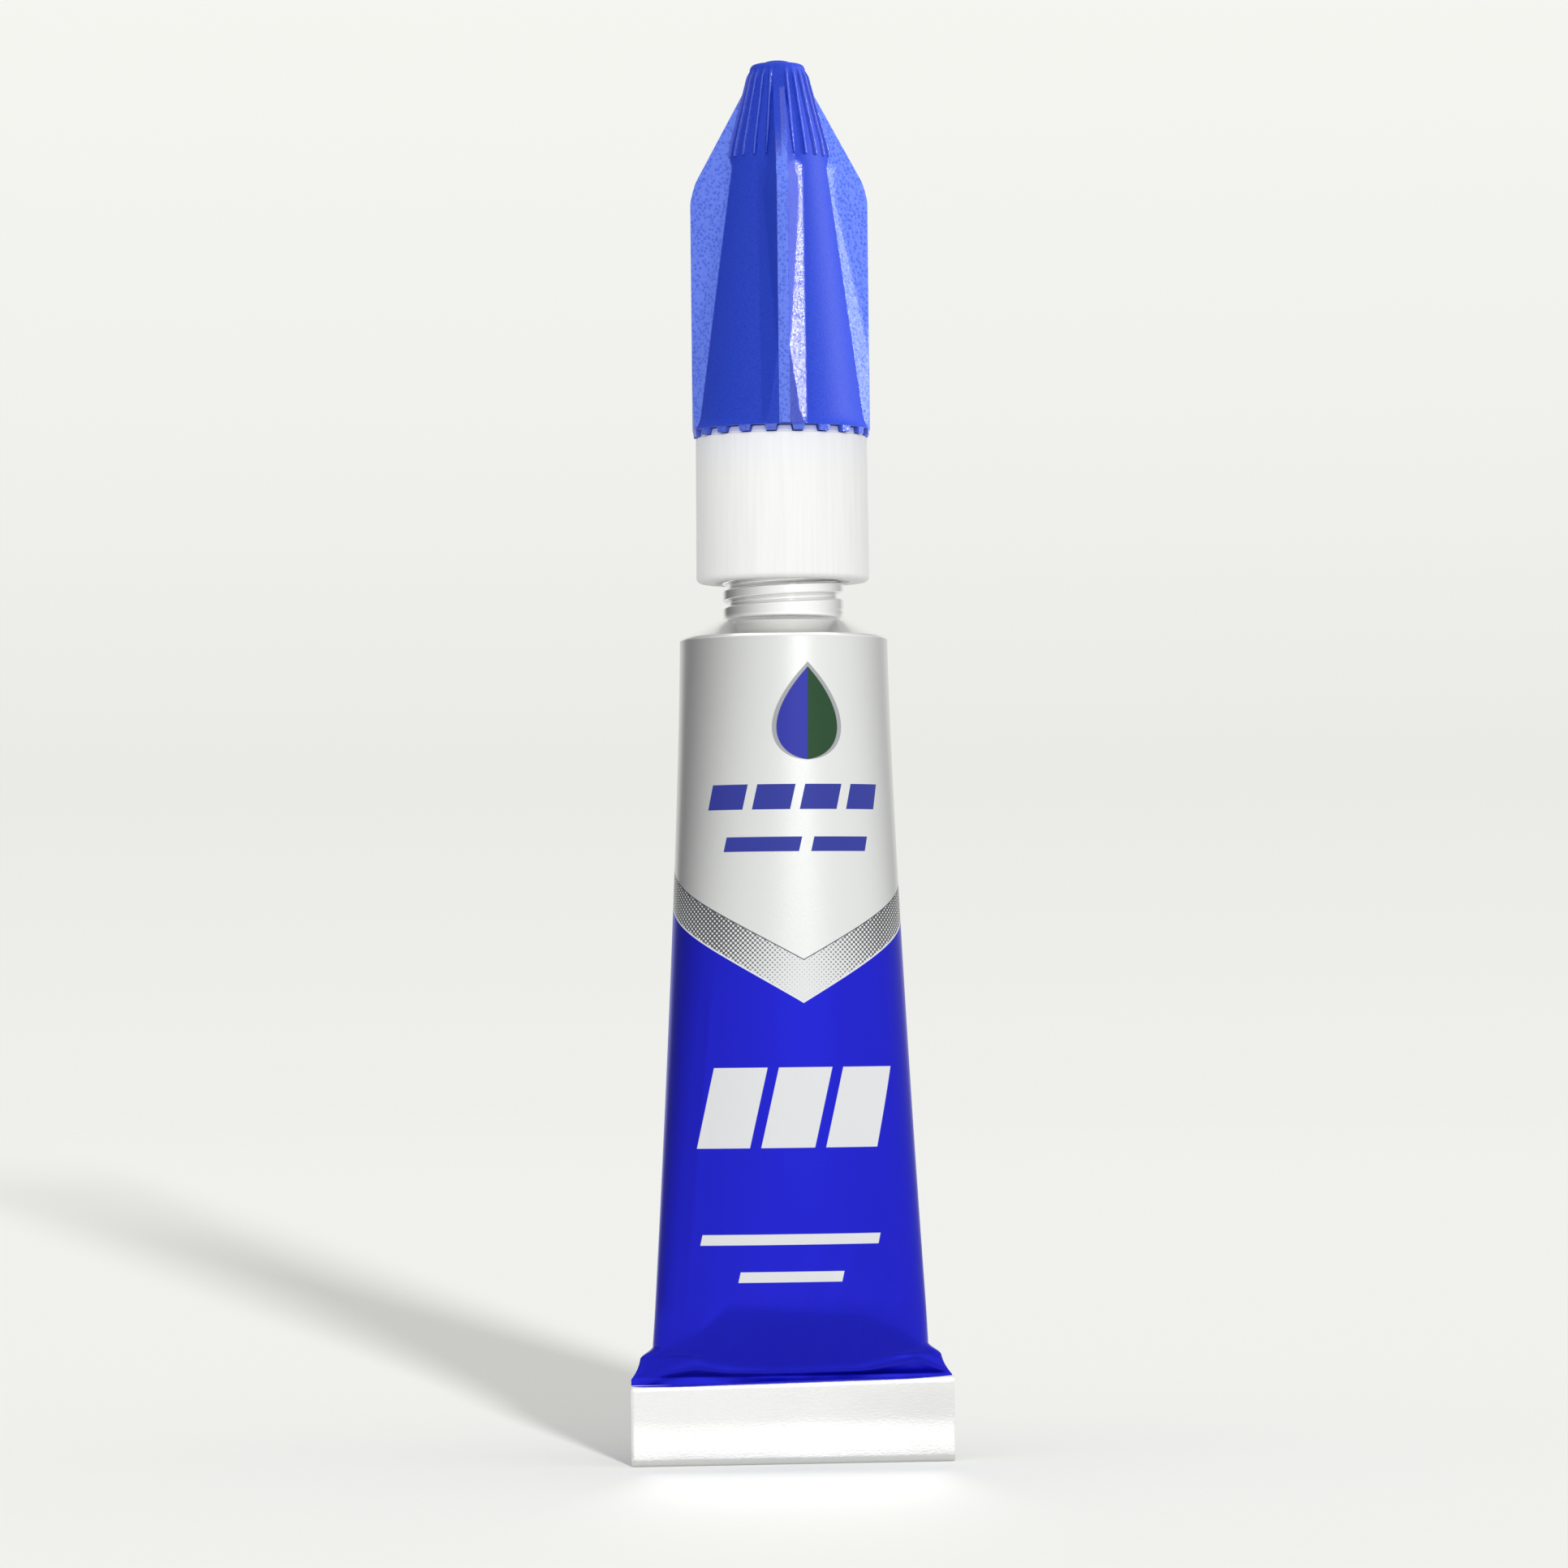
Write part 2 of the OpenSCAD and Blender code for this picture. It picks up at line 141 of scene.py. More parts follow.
# Cap
CAP_TURN = math.radians(-5.2)
RIM_R = cap_high[0]
RIM_Z = cap_low[2] + LUG_H
CAP_TOP = cap_high[2]
CONE_Z = RIM_Z + 1.45
# Outline of the cap between its wings, as radius at height, with a flare at the rim
CONE_AT_Z = [RIM_Z, 75.5, 76.3, CAP_TOP]
CONE_R = [4.92, 2.9, 2.74, 1.46]
RIM_FLARE_H = 0.3
CAP_WALL = 0.9
TIP_Z = 77.75
TIP_R = 1.25
WING_STEP = math.pi / 2
WING_R = RIM_R - 0.02
WING_T = 0.66
WING_DRAFT = math.tan(math.radians(20))
WING_FOOT = 1.3
WING_CORNER_Z = RIM_Z + 13.85
WING_CORNER_CUT, WING_CORNER_H = 0.12, 0.35
WING_TOP = 79.45
FINE_ROWS_Z = 72.6
STRIP_TOP = 76.2
# Below this height the wings' faces carry the painted pale light
PALE_FACE_TOP = 77.5
RIB_STEP = math.pi / 12
RIB_LOW, RIB_HIGH = 75.45, 80.7
RIB_W, RIB_H = 0.22, 0.15
LUG_W = 0.62

# Print on the wall: u runs along the wall from the front centre, v up
BAND_TIP_U, BAND_TIP_V = 0.39, 26.63
BAND_SLOPE = 0.59
BAND_H, BAND_TAPER = 2.33, -0.04
DOT_PITCH = 0.2
BAR_SLANT = 0.22
# Bars as u and v of the middle, half width and half height
BLUE_BARS = [(-4.1, 38.3, 1.1, 0.72), (-1.35, 38.3, 1.1, 0.72), (1.4, 38.3, 1.1, 0.72),
             (4.1, 38.3, 1.0, 0.72), (-2.0, 35.6, 2.2, 0.42), (2.6, 35.6, 1.7, 0.42)]
WHITE_BARS = [(-3.75, 20.55, 1.55, 2.3), (0.0, 20.55, 1.55, 2.3), (3.75, 20.55, 1.55, 2.3),
              (-0.3, 13.0, 5.2, 0.3), (-0.3, 10.85, 3.0, 0.3)]
DROP_U, DROP_LOW, DROP_HIGH = 0.6, 40.4, 46.0
DROP_GIRTH = 5.4
DROP_EDGE = 0.28
# Thin lines above and below the band
LINE_ABOVE, LINE_BELOW = 0.07, 0.11
# Colours of the print
SILVER = (0.76, 0.77, 0.77, 1)
PRINT_WHITE = (0.88, 0.89, 0.91, 1)
PRINT_BLUE = (0.016, 0.018, 0.62, 1)
MARK_BLUE = (0.022, 0.035, 0.36, 1)
DROP_GREY = (0.42, 0.43, 0.45, 1)
DROP_BLUE = (0.02, 0.03, 0.42, 1)
DROP_GREEN = (0.006, 0.06, 0.015, 1)
BAND_DARK = (0.09, 0.09, 0.10, 1)
BAND_LIGHT = (0.86, 0.87, 0.88, 1)
LINE_DARK = (0.12, 0.12, 0.16, 1)


def ease(t):
    """0 below 0, 1 above 1, and a smooth rise between."""
    c = np.clip(t, 0, 1)
    return c * c * (3 - 2 * c)


def soft_max(a, b, reach):
    """The larger of two values, with a fillet where they are closer than reach."""
    near = np.maximum(reach - np.abs(a - b), 0) / reach
    return np.maximum(a, b) + near * near * reach / 4


def soft_min(y, most):
    """The value y, with its size held to most by a rounded change."""
    power = 24
    return y * most / (np.abs(y) ** power + most ** power) ** (1 / power)


def from_nearest(value, step):
    """Signed distance from the nearest multiple of step."""
    return (value + step / 2) % step - step / 2


def heights(*stretches):
    """Row positions from (start, end, count) stretches, each end shared with the next start."""
    return np.concatenate([np.linspace(a, b, n, endpoint=False) for a, b, n in stretches]
                          + [[stretches[-1][1]]])


def round_angles(cols):
    return np.linspace(0, TAU, cols, endpoint=False)[None, :]


# Meshes


def grid_faces(rows, cols, loop):
    """Quads of a grid whose columns close round, and whose rows do too if loop is true."""
    i = np.arange(rows if loop else rows - 1)[:, None]
    j = np.arange(cols)[None, :]
    below, above = i * cols, (i + 1) % rows * cols
    ahead = (j + 1) % cols
    return np.stack([below + j, below + ahead, above + ahead, above + j], -1).reshape(-1, 4).tolist()


def fan_faces(centre, first, cols):
    """Triangles from a centre point to a closed row of points that starts at first."""
    return [[centre, first + j, first + (j + 1) % cols] for j in range(cols)]


def piece(name, points, faces, body, node, look, sharp=35):
    """A closed mesh from points in millimetres, riding a body and standing for a CAD node."""
    mesh = bpy.data.meshes.new(name)
    mesh.from_pydata((np.asarray(points) * MM).tolist(), [], faces)
    work = bmesh.new()
    work.from_mesh(mesh)
    bmesh.ops.recalc_face_normals(work, faces=work.faces)
    work.to_mesh(mesh)
    work.free()
    mesh.shade_smooth()
    mesh.set_sharp_from_angle(angle=math.radians(sharp))
    made = bpy.data.objects.new(name, mesh)
    bpy.context.scene.collection.objects.link(made)
    mesh.materials.append(look)
    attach(made, body)
    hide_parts(node)
    return made


def polar_points(r, z, angles):
    """Points of a surface given by radius and height at each row and angle."""
    r, z = np.broadcast_arrays(r, z)
    return np.stack([r * np.cos(angles), r * np.sin(angles), z], -1).reshape(-1, 3)


def thread_height(z, angles, crest_z, ridge):
    """Share of the full thread depth at a height and angle, for a right-hand ridge."""
    off = from_nearest(z - crest_z - PITCH * angles / TAU, PITCH)
    tip, root = ridge
    return ease((root - np.abs(off)) / (root - tip))


# Tube wall


def half_width(z):
    """Half width of the wall. From the hips down a perimeter is 4 half widths and TAU - 4 half depths."""
    hip_a = (PERIMETER - (TAU - 4) * HIP_B) / 4
    up = np.clip((BODY_H - z) / (BODY_H - HIP_Z), 0, 1)
    q = np.clip((HIP_Z - z) / CORNER_H, 0, 1)
    # Half of the corner's spread comes in a quick step, and half grows towards the tail
    spread = 0.5 * ease((q - 0.05) / 0.37) + 0.5 * q ** 2.5
    return np.where(z >= HIP_Z, TUBE_R + (hip_a - TUBE_R) * up ** FLARE,
                    hip_a + (TAIL_A - EDGE_SKIN - hip_a) * spread)


def half_depth(z):
    up = np.clip((BODY_H - z) / (BODY_H - HIP_Z), 0, 1)
    flat = (PERIMETER - 4 * half_width(z)) / (TAU - 4)
    return np.where(z >= HIP_Z, TUBE_R + (HIP_B - TUBE_R) * up, np.maximum(flat, SHEET_T / 2))


def oval(s, a, b, power):
    """Points of flattened rings at shares s of each perimeter from the front centre, and the perimeters."""
    steps = 1440
    t = np.linspace(0, TAU, steps + 1)
    cos, sin = np.cos(t), np.sin(t)
    x, y, perimeter = [], [], []
    for half_x, half_y, p in zip(a.ravel(), b.ravel(), power.ravel()):
        dense_x = half_x * np.sign(sin) * np.abs(sin) ** (2 / p)
        dense_y = -half_y * np.sign(cos) * np.abs(cos) ** (2 / p)
        along = np.concatenate([[0], np.cumsum(np.hypot(np.diff(dense_x), np.diff(dense_y)))])
        x.append(np.interp(s.ravel() * along[-1], along, dense_x))
        y.append(np.interp(s.ravel() * along[-1], along, dense_y))
        perimeter.append(along[-1])
    return np.array(x), np.array(y), np.array(perimeter)


def tail_top(x):
    """Height of the rolled tail's upper edge."""
    return TAIL_EDGE_Z + TAIL_EDGE_CLIMB * x


def section_power(z):
    """Power of a ring's curve: 2 is an ellipse, and more is squarer."""
    return 2 + SQUARER * ease((BODY_H - z) / SQUARER_RUN)


def pinch(x, z, ridge, inset):
    """Half depth of the flat that is ruled from a ridge down to the tail."""
    top = tail_top(x) - TUCK
    ridge_z = np.interp(x, *np.array(ridge).T)
    p = section_power(ridge_z)
    across = np.clip(np.abs(x) / half_width(ridge_z), 0, 0.995)
    at_ridge = half_depth(ridge_z) * (1 - across ** p) ** (1 / p) - SHEET_T / 2
    return SHEET_T / 2 - inset + np.maximum(at_ridge, 0.02) * np.maximum(z - top, 0) / (ridge_z - top)


def wall_ring(s, z, inset):
    """Points of the wall at shares s of each ring's perimeter, and the perimeters."""
    a, b = half_width(z) - inset, half_depth(z) - inset
    x, y, perimeter = oval(s, a, b, section_power(z))
    front = soft_min(y, pinch(x, z, FRONT_RIDGE, inset))
    back = soft_min(y, pinch(x, z, BACK_RIDGE, inset))
    held = np.where(y < 0, front, back)
    shift = LAYER * ease((RIDGE_Z - z) / (RIDGE_Z - TAIL_H))
    wave_z = np.interp(x, WAVE_X, WAVE_Z)
    wave = WAVE_DEPTH * np.exp(-((z - wave_z) / WAVE_H) ** 2) * ease((WAVE_END - np.abs(x)) / 1.2)
    low = ease((CRUMPLE_TOP - z) / 9)
    crumple = low * CRUMPLE_DEPTH * (np.sin(1.7 * x + 0.9 * z) * np.sin(0.9 * z - 0.6 * x + 1.1)
                                     + 0.6 * np.sin(3.1 * x - 1.3 * z + 0.4))
    crease_x = CREASE_X - CREASE_LEFT * (CREASE_Z - z) / CREASE_RUN
    crease = CREASE_DEPTH * np.exp(-((x - crease_x) / CREASE_W) ** 2)
    crumple = crumple + crease * ease((CREASE_TOP - z) / 6) * ease((z - CREASE_FOOT) / 3)
    out = np.clip(-y / b, 0, 1)
    x = x + TAIL_CUT * ease((HIP_Z - z) / 2.2) * np.clip(-x / TAIL_A, 0, 1)
    return x, shift + held - (wave + crumple) * ease(out * 3), perimeter


def tube_wall(look):
    cols = 320
    z = heights((TAIL_H - 0.35, PINCH_TOP, 110), (PINCH_TOP, CRUMPLE_TOP, 40),
                (CRUMPLE_TOP, WALL_TOP, 90))[:, None]
    s = (np.arange(cols) / cols)[None, :]
    rings = []
    for inset in (WALL_T, 0):
        x, y, perimeter = wall_ring(s, z, inset)
        rings.insert(0, np.stack([x, y, np.broadcast_to(z, x.shape)], -1).reshape(-1, 3))
    rows = len(z)
    outer = np.arange(rows)
    order = np.concatenate([outer, rows + outer[::-1]])
    stack = np.concatenate(rings).reshape(2 * rows, cols, 3)[order].reshape(-1, 3)
    made = piece("tube_wall", stack, grid_faces(2 * rows, cols, True), "tube", "tube_shell",
                 look, sharp=50)
    # Place on the printed sheet: millimetres along the wall from the front centre, and up
    perimeter = np.concatenate([perimeter, perimeter[::-1]])
    corners = np.zeros(len(made.data.loops), np.int32)
    made.data.loops.foreach_get("vertex_index", corners)
    row, col = corners // cols, corners % cols
    face_cols = col.reshape(-1, 4)
    wraps = (face_cols.max(1) - face_cols.min(1) > cols / 2)[:, None]
    share = np.where(wraps & (face_cols == 0), cols, face_cols) / cols
    on_left = share.mean(1, keepdims=True) > 0.5
    share = np.where(on_left, share - 1, share).ravel()
    label = np.zeros((len(corners), 3), np.float32)
    label[:, 0] = share * perimeter[row]
    label[:, 1] = stack[corners, 2]
    at = made.data.attributes.new("label", "FLOAT_VECTOR", "CORNER")
    at.data.foreach_set("vector", label.ravel())
    return made


def tube_neck(look):
    angles = round_angles(240)
    edge_r, edge_z = TUBE_R - BEVEL, WALL_TOP + BEVEL
    skirt = [(TUBE_R - 0.1, WALL_TOP - 0.3), (TUBE_R - 0.06, WALL_TOP - 0.08),
             (TUBE_R + 0.003, WALL_TOP - 0.02)]
    rounded = [(TUBE_R + 0.005, WALL_TOP), (TUBE_R - 0.015, WALL_TOP + 0.03),
               (edge_r + 0.04, edge_z - 0.02), (edge_r, edge_z)]
    cone_top = SHOULDER_TOP - 0.38
    cone = [(edge_r + (FILLET_R - edge_r) * q, edge_z + (cone_top - edge_z) * q)
            for q in np.linspace(0.06, 1, 24)]
    fillet = [(FILLET_R - (FILLET_R - THREAD_R) * math.sin(t) ** 0.9,
               cone_top + (FILLET_TOP - cone_top) * (1 - math.cos(t)) ** 0.8)
              for t in np.linspace(0.2, math.pi / 2, 12)]
    neck = [(ROOT_R, h) for h in heights((FILLET_TOP + 0.04, NECK_TOP - 0.27, 180))]
    mouth = [(ROOT_R - 0.04, NECK_TOP - 0.2), (ROOT_R - 0.25, NECK_TOP), (BORE_R + 0.05, NECK_TOP),
             (BORE_R, NECK_TOP - 0.06)]
    inside = [(BORE_R, BORE_FOOT), (BORE_R, SHOULDER_INSIDE), (TUBE_R - 0.3, WALL_TOP - 0.2),
              (TUBE_R - 0.22, WALL_TOP - 0.3)]
    profile = np.array(skirt + rounded + cone + fillet + neck + mouth + inside)
    r, z = profile[:, :1], profile[:, 1:]
    outside = np.zeros(len(profile), bool)
    first = len(skirt + rounded + cone)
    outside[first:first + len(fillet) + len(neck)] = True
    plain = ease((PLAIN_TOP - z) / 0.2)
    top_end = ease((NECK_TOP - 0.35 - z) / 0.3)
    thread = np.maximum(thread_height(z, angles, NECK_THREAD_Z, NECK_RIDGE), plain) * top_end
    ridge = ROOT_R + (THREAD_R - ROOT_R) * thread
    r = np.where(outside[:, None], np.maximum(r, ridge), r + 0 * angles)
    return piece("tube_neck", polar_points(r, z, angles), grid_faces(len(profile), angles.size, True),
                 "tube", "tube_shell", look, sharp=50)


def tail_path():
    """Middle line of the rolled sheet in Y and Z, and where its front begins."""
    corner, bend = 0.24, TAIL_H - LAYER / 2 - SHEET_T / 2
    foot = SHEET_T / 2
    turn = np.linspace(0, math.pi / 2, 9)[1:-1]
    back = [(LAYER, h) for h in heights((TAIL_H - 0.6, foot + corner, 40))]
    heel = [(LAYER - corner * (1 - math.cos(t)), foot + corner * (1 - math.sin(t))) for t in turn]
    sole = [(y, foot) for y in np.linspace(LAYER - corner, corner - LAYER, 5)]
    toe = [(corner * (1 - math.sin(t)) - LAYER, foot + corner * (1 - math.cos(t))) for t in turn]
    front = [(-LAYER, h) for h in heights((foot + corner, bend, 44))]
    over = [(-LAYER / 2 - LAYER / 2 * math.cos(t), bend + LAYER / 2 * math.sin(t))
            for t in np.linspace(0, math.pi, 17)[1:-1]]
    tucked = [(0, h) for h in heights((bend, 0.55, 30))]
    return np.array(back + heel + sole + toe + front + over + tucked), len(back + heel + sole)


def rolled_strip(name, thick, end, node, look):
    """The rolled sheet or what lies inside it, thick millimetres thick and end short of the tail's ends."""
    path, front_from = tail_path()
    along = np.gradient(path, axis=0)
    along /= np.linalg.norm(along, axis=1, keepdims=True)
    side = np.stack([along[:, 1], -along[:, 0]], 1) * thick / 2
    n = len(path)
    middle = np.concatenate([path, path[::-1]])
    loop = np.concatenate([path + side, (path - side)[::-1]])
    in_front = np.arange(n) >= front_from
    in_front = np.concatenate([in_front, in_front[::-1]])
    left, right = TAIL_CUT + end - TAIL_A, TAIL_A - end
    x = np.concatenate([[left, left + 0.03], np.linspace(left + 0.1, right - 0.1, 140),
                        [right - 0.03, right]])
    stations = []
    for at in x:
        share = 0.88 if at in (left, right) else 1.0
        y, z = (middle + (loop - middle) * share).T
        z = np.where(in_front, z * tail_top(at) / TAIL_H, z)
        up = np.clip(z / TAIL_H, 0, 1)
        # The fold isn't quite flat: it bows along its length, and its front leans
        bow = 0.035 * math.sin(0.47 * at + 0.8) + 0.015 * math.sin(1.3 * at + 0.3)
        lean = 0.1 * ease((z - 0.2) / 2.4) - 0.05 * ease((z - 2.4) / 2.4)
        stations.append(np.stack([np.full(2 * n, at), y + bow * up + lean * in_front, z], 1))
    faces = grid_faces(len(x), 2 * n, False)
    last = (len(x) - 1) * 2 * n
    for i in range(n - 1):
        quad = [i, i + 1, 2 * n - 2 - i, 2 * n - 1 - i]
        faces.append(quad)
        faces.append([last + q for q in quad[::-1]])
    return piece(name, np.concatenate(stations), faces, "tube", node, look, sharp=50)


def gel(look):
    cols = 120
    z = heights((TAIL_H + 1.0, PINCH_TOP, 50), (PINCH_TOP, BODY_H - 1.2, 60))[:, None]
    s = (np.arange(cols) / cols)[None, :]
    x, y, _ = wall_ring(s, z, WALL_T + 0.06)
    points = np.stack([x, y, np.broadcast_to(z, x.shape)], -1).reshape(-1, 3)
    top = len(points) - cols
    ends = np.array([points[:cols].mean(0), points[top:].mean(0)])
    faces = grid_faces(len(z), cols, False)
    faces += fan_faces(len(points), 0, cols) + fan_faces(len(points) + 1, top, cols)
    piece("gel", np.concatenate([points, ends]), faces, "tube", "gel_fill", look)


# Nozzle and cap


def nozzle_collar(look):
    angles = round_angles(400)
    round_r, edge_r = 0.3, 0.12
    bottom = [(COLLAR_BORE + round_r, SKIRT_Z), (COLLAR_R - round_r, SKIRT_Z)]
    corner = [(COLLAR_R - round_r * (1 - math.sin(t)), SKIRT_Z + round_r * (1 - math.cos(t)))
              for t in np.linspace(0.1, math.pi / 2, 10)]
    side = [(COLLAR_R - 0.006 * (h - SKIRT_Z), h)
            for h in heights((SKIRT_Z + round_r + 0.1, COLLAR_TOP - 0.2, 40))]
    edge = [(COLLAR_R - 0.05 - edge_r * (1 - math.cos(t)), COLLAR_TOP - edge_r * (1 - math.sin(t)))
            for t in np.linspace(0, math.pi / 2, 6)]
    top = [(q, COLLAR_TOP) for q in TOOTH_RADII + (3.6, LIP_BORE + 0.05)]
    lip = [(LIP_BORE, COLLAR_TOP - 0.05), (LIP_BORE, LIP_Z), (COLLAR_BORE, LIP_Z)]
    bore = [(COLLAR_BORE, h) for h in heights((LIP_Z - 0.1, SKIRT_Z + round_r, 190))]
    profile = np.array(bottom + corner + side + edge + top + lip + bore)
    r, z = profile[:, :1] + 0 * angles, profile[:, 1:] + 0 * angles
    bored = len(profile) - len(bore)
    ends = ease((z - COLLAR_Z - 0.5) / 0.3) * ease((FLANGE_Z - 0.6 - z) / 0.3)
    thread = thread_height(z, angles, NECK_THREAD_Z + PITCH / 2, COLLAR_RIDGE)
    ridge = (COLLAR_BORE - COLLAR_CREST) * thread * ends
    inner = np.arange(len(profile))[:, None] >= bored
    r = np.where(inner, r - ridge, r)
    first = len(bottom + corner + side + edge)
    on_top = np.isin(np.arange(len(profile)), first + np.arange(1, 4))[:, None]
    off = from_nearest(angles - CAP_TURN, TAU / TEETH) * TOOTH_RADII[0]
    tooth = ease((TOOTH_W / 2 + 0.04 - np.abs(off)) / 0.08)
    z = np.where(on_top, z + LUG_H * tooth, z)
    faces = grid_faces(len(profile), angles.size, True)
    return piece("nozzle_collar_looks", polar_points(r, z, angles), faces, "collar", "nozzle_collar",
                 look)


def nozzle_spout(look):
    angles = round_angles(120)
    tip_r, base_r, channel = 0.85, 2.5, 0.45
    spike = [(channel, SPIKE_TIP), (0.55, SPIKE_TIP), (1.26, FLANGE_Z - 0.1), (1.38, FLANGE_Z)]
    flange = [(FLANGE_R - 0.05, FLANGE_Z), (FLANGE_R, FLANGE_Z + 0.05), (FLANGE_R, FLANGE_TOP - 0.05),
              (FLANGE_R - 0.05, FLANGE_TOP), (base_r, FLANGE_TOP), (base_r, COLLAR_TOP)]
    cone = [(base_r - 0.02 + (tip_r - base_r + 0.02) * q,
             COLLAR_TOP + 0.1 + (SPOUT_TIP - 0.25 - COLLAR_TOP) * q)
            for q in np.linspace(0, 1, 40)]
    mouth = [(tip_r - 0.03, SPOUT_TIP - 0.06), (tip_r - 0.1, SPOUT_TIP), (0.4, SPOUT_TIP),
             (0.35, SPOUT_TIP - 0.08)]
    bore = [(channel - 0.1 * q, SPIKE_TIP + (SPOUT_TIP - SPIKE_TIP) * q)
            for q in np.linspace(0.95, 0.05, 12)]
    profile = np.array(spike + flange + cone + mouth + bore)
    r, z = profile[:, :1] + 0 * angles, profile[:, 1:] + 0 * angles
    faces = grid_faces(len(profile), angles.size, True)
    return piece("nozzle_spout_looks", polar_points(r, z, angles), faces, "spout", "nozzle_spout",
                 look)


def cap_cone(z):
    flare = (RIM_R - CONE_R[0]) * np.exp(-np.maximum(z - RIM_Z, 0) / RIM_FLARE_H)
    return np.interp(z, CONE_AT_Z, CONE_R) + flare


def cap_outside(z, angles):
    """Radius of the cap's outside, and what it is: 0 cone, 0.5 a wing's root, 1 where a wing is painted
    pale, as painted light through its thin plastic with painted sparkle.
    """
    turned = angles - CAP_TURN
    off = from_nearest(turned, WING_STEP)
    cone = cap_cone(z) + 0 * off
    slant = (WING_R - cap_cone(WING_TOP)) / (WING_TOP - WING_CORNER_Z)
    wing = np.minimum(WING_R, WING_R - slant * (z - WING_CORNER_Z))
    wing = wing - WING_CORNER_CUT * np.exp(-((z - WING_CORNER_Z) / WING_CORNER_H) ** 2)
    flank = (WING_T / 2 + wing * WING_DRAFT) / (np.abs(np.sin(off)) + WING_DRAFT * np.cos(off))
    face = np.maximum(wing / np.cos(off), cone)
    # A flat strip runs down each side of a wing's foot, at 45 degrees to the wing
    foot = WING_FOOT * ease((STRIP_TOP - z) / 1.5)
    strip_r = (np.sqrt(np.maximum(cone ** 2 - foot ** 2, 0)) + foot) * math.sqrt(0.5)
    strip = strip_r / np.cos(np.abs(off) - math.pi / 4)
    reach = 0.12 * (0.1 + 0.9 * ease((WING_TOP - z) / 1.5))
    body = np.minimum(soft_max(soft_max(cone, strip, 0.04), flank, reach), face)
    raised = ease((body - cone - 0.01) / 0.03)
    # Painted light: the two wings at the sides and the faces of all wings are painted pale, as light
    # through the thin plastic
    beside = ease((np.abs(np.cos(turned)) - 0.7) / 0.02)
    on_face = ease((flank - face) / 0.05) * ease((PALE_FACE_TOP - z) / 3)
    painted_glow = np.maximum(beside, on_face)
    on_wing = raised * np.maximum(painted_glow, ease(np.cos(turned) / 0.01))
    across = np.abs(from_nearest(turned, RIB_STEP)) * cone
    fade = ease((z - RIB_LOW + 0.02) / 0.04) * ease((RIB_HIGH - z) / 0.6)
    rib = RIB_H * ease((RIB_W / 2 + 0.03 - across) / 0.12) * fade * (1 - ease((flank - cone) / 0.1))
    return np.minimum(body + rib, RIM_R), np.maximum(0.5 * on_wing * (1 + painted_glow), 0.6 * rib / RIB_H)


def cap(look):
    cols = 720
    angles = round_angles(cols)
    step = TAU / TEETH
    # The lugs stand between the collar's teeth
    off = ((angles - CAP_TURN) % step - step / 2) * (RIM_R - 0.3)
    lug = ease((LUG_W / 2 + 0.03 - np.abs(off)) / 0.06)
    in_r = RIM_R - CAP_WALL
    lug_out = RIM_R - 0.05
    hollow = [(0.5 * TIP_R, TIP_Z), (TIP_R - 0.05, TIP_Z), (TIP_R, TIP_Z - 0.05)]
    hollow += [(TIP_R + (in_r - TIP_R) * (TIP_Z - h) / (TIP_Z - CONE_Z), h)
               for h in np.linspace(TIP_Z - 0.8, CONE_Z, 30)]
    hollow += [(in_r, h) for h in np.linspace(CONE_Z - 0.2, RIM_Z + 0.2, 6)]
    inner = np.array(hollow)
    # Rows of the rim as radius, height, and 1 where a lug hangs down
    edge = np.array([(in_r, RIM_Z + 0.02, 0), (in_r + 0.02, RIM_Z, 1), (in_r + 0.1, RIM_Z, 1),
                     (lug_out - 0.1, RIM_Z, 1), (lug_out - 0.02, RIM_Z, 1), (lug_out, RIM_Z, 0),
                     (RIM_R - 0.01, RIM_Z + 0.01, 0)])
    outer_z = heights((RIM_Z + 0.04, RIM_Z + 0.5, 8), (RIM_Z + 0.5, CONE_Z + 0.4, 24),
                      (CONE_Z + 0.4, FINE_ROWS_Z, 120), (FINE_ROWS_Z, RIB_LOW - 0.03, 60),
                      (RIB_LOW - 0.03, RIB_LOW + 0.03, 4), (RIB_LOW + 0.03, CAP_TOP - 0.56, 90))[:, None]
    out_r, wing = cap_outside(outer_z, angles)
    round_r, flat_z = 0.36, CAP_TOP - 0.2
    bends = np.linspace(0, math.pi / 2, 8)[1:, None]
    bend_r = out_r[-1:, :] - round_r * (1 - np.cos(bends))
    bend_z = flat_z - round_r * (1 - np.sin(bends))
    nub = np.array([(0.95, flat_z + 0.02), (0.78, flat_z + 0.05), (0.66, flat_z + 0.15),
                    (0.5, CAP_TOP - 0.01), (0.2, CAP_TOP)])
    rows_r = [inner[:, :1], edge[:, :1], out_r, bend_r, nub[:, :1]]
    rows_z = [inner[:, 1:], edge[:, 1:2] - LUG_H * edge[:, 2:] * lug, outer_z, bend_z, nub[:, 1:]]
    r = np.concatenate([row + 0 * angles for row in rows_r])
    z = np.concatenate([row + 0 * angles for row in rows_z])
    points = np.concatenate([polar_points(r, z, angles), [(0, 0, TIP_Z), (0, 0, CAP_TOP)]])
    rows = len(r)
    faces = grid_faces(rows, cols, False)
    faces += fan_faces(rows * cols, 0, cols) + fan_faces(rows * cols + 1, (rows - 1) * cols, cols)
    made = piece("cap_looks", points, faces, "cap", "cap", look, sharp=40)
    mask = np.zeros((rows, cols), np.float32)
    first = len(inner) + len(edge)
    # The rim is halfway between a wing's root and its painted pale part, so it has half of the painted
    # light through the plastic
    mask[len(inner):first] = 0.75
    mask[first:first + len(out_r)] = wing
    at = made.data.attributes.new("wing", "FLOAT", "POINT")
    at.data.foreach_set("value", np.concatenate([mask.ravel(), [0, 0]]).astype(np.float32))
    return made


# Materials


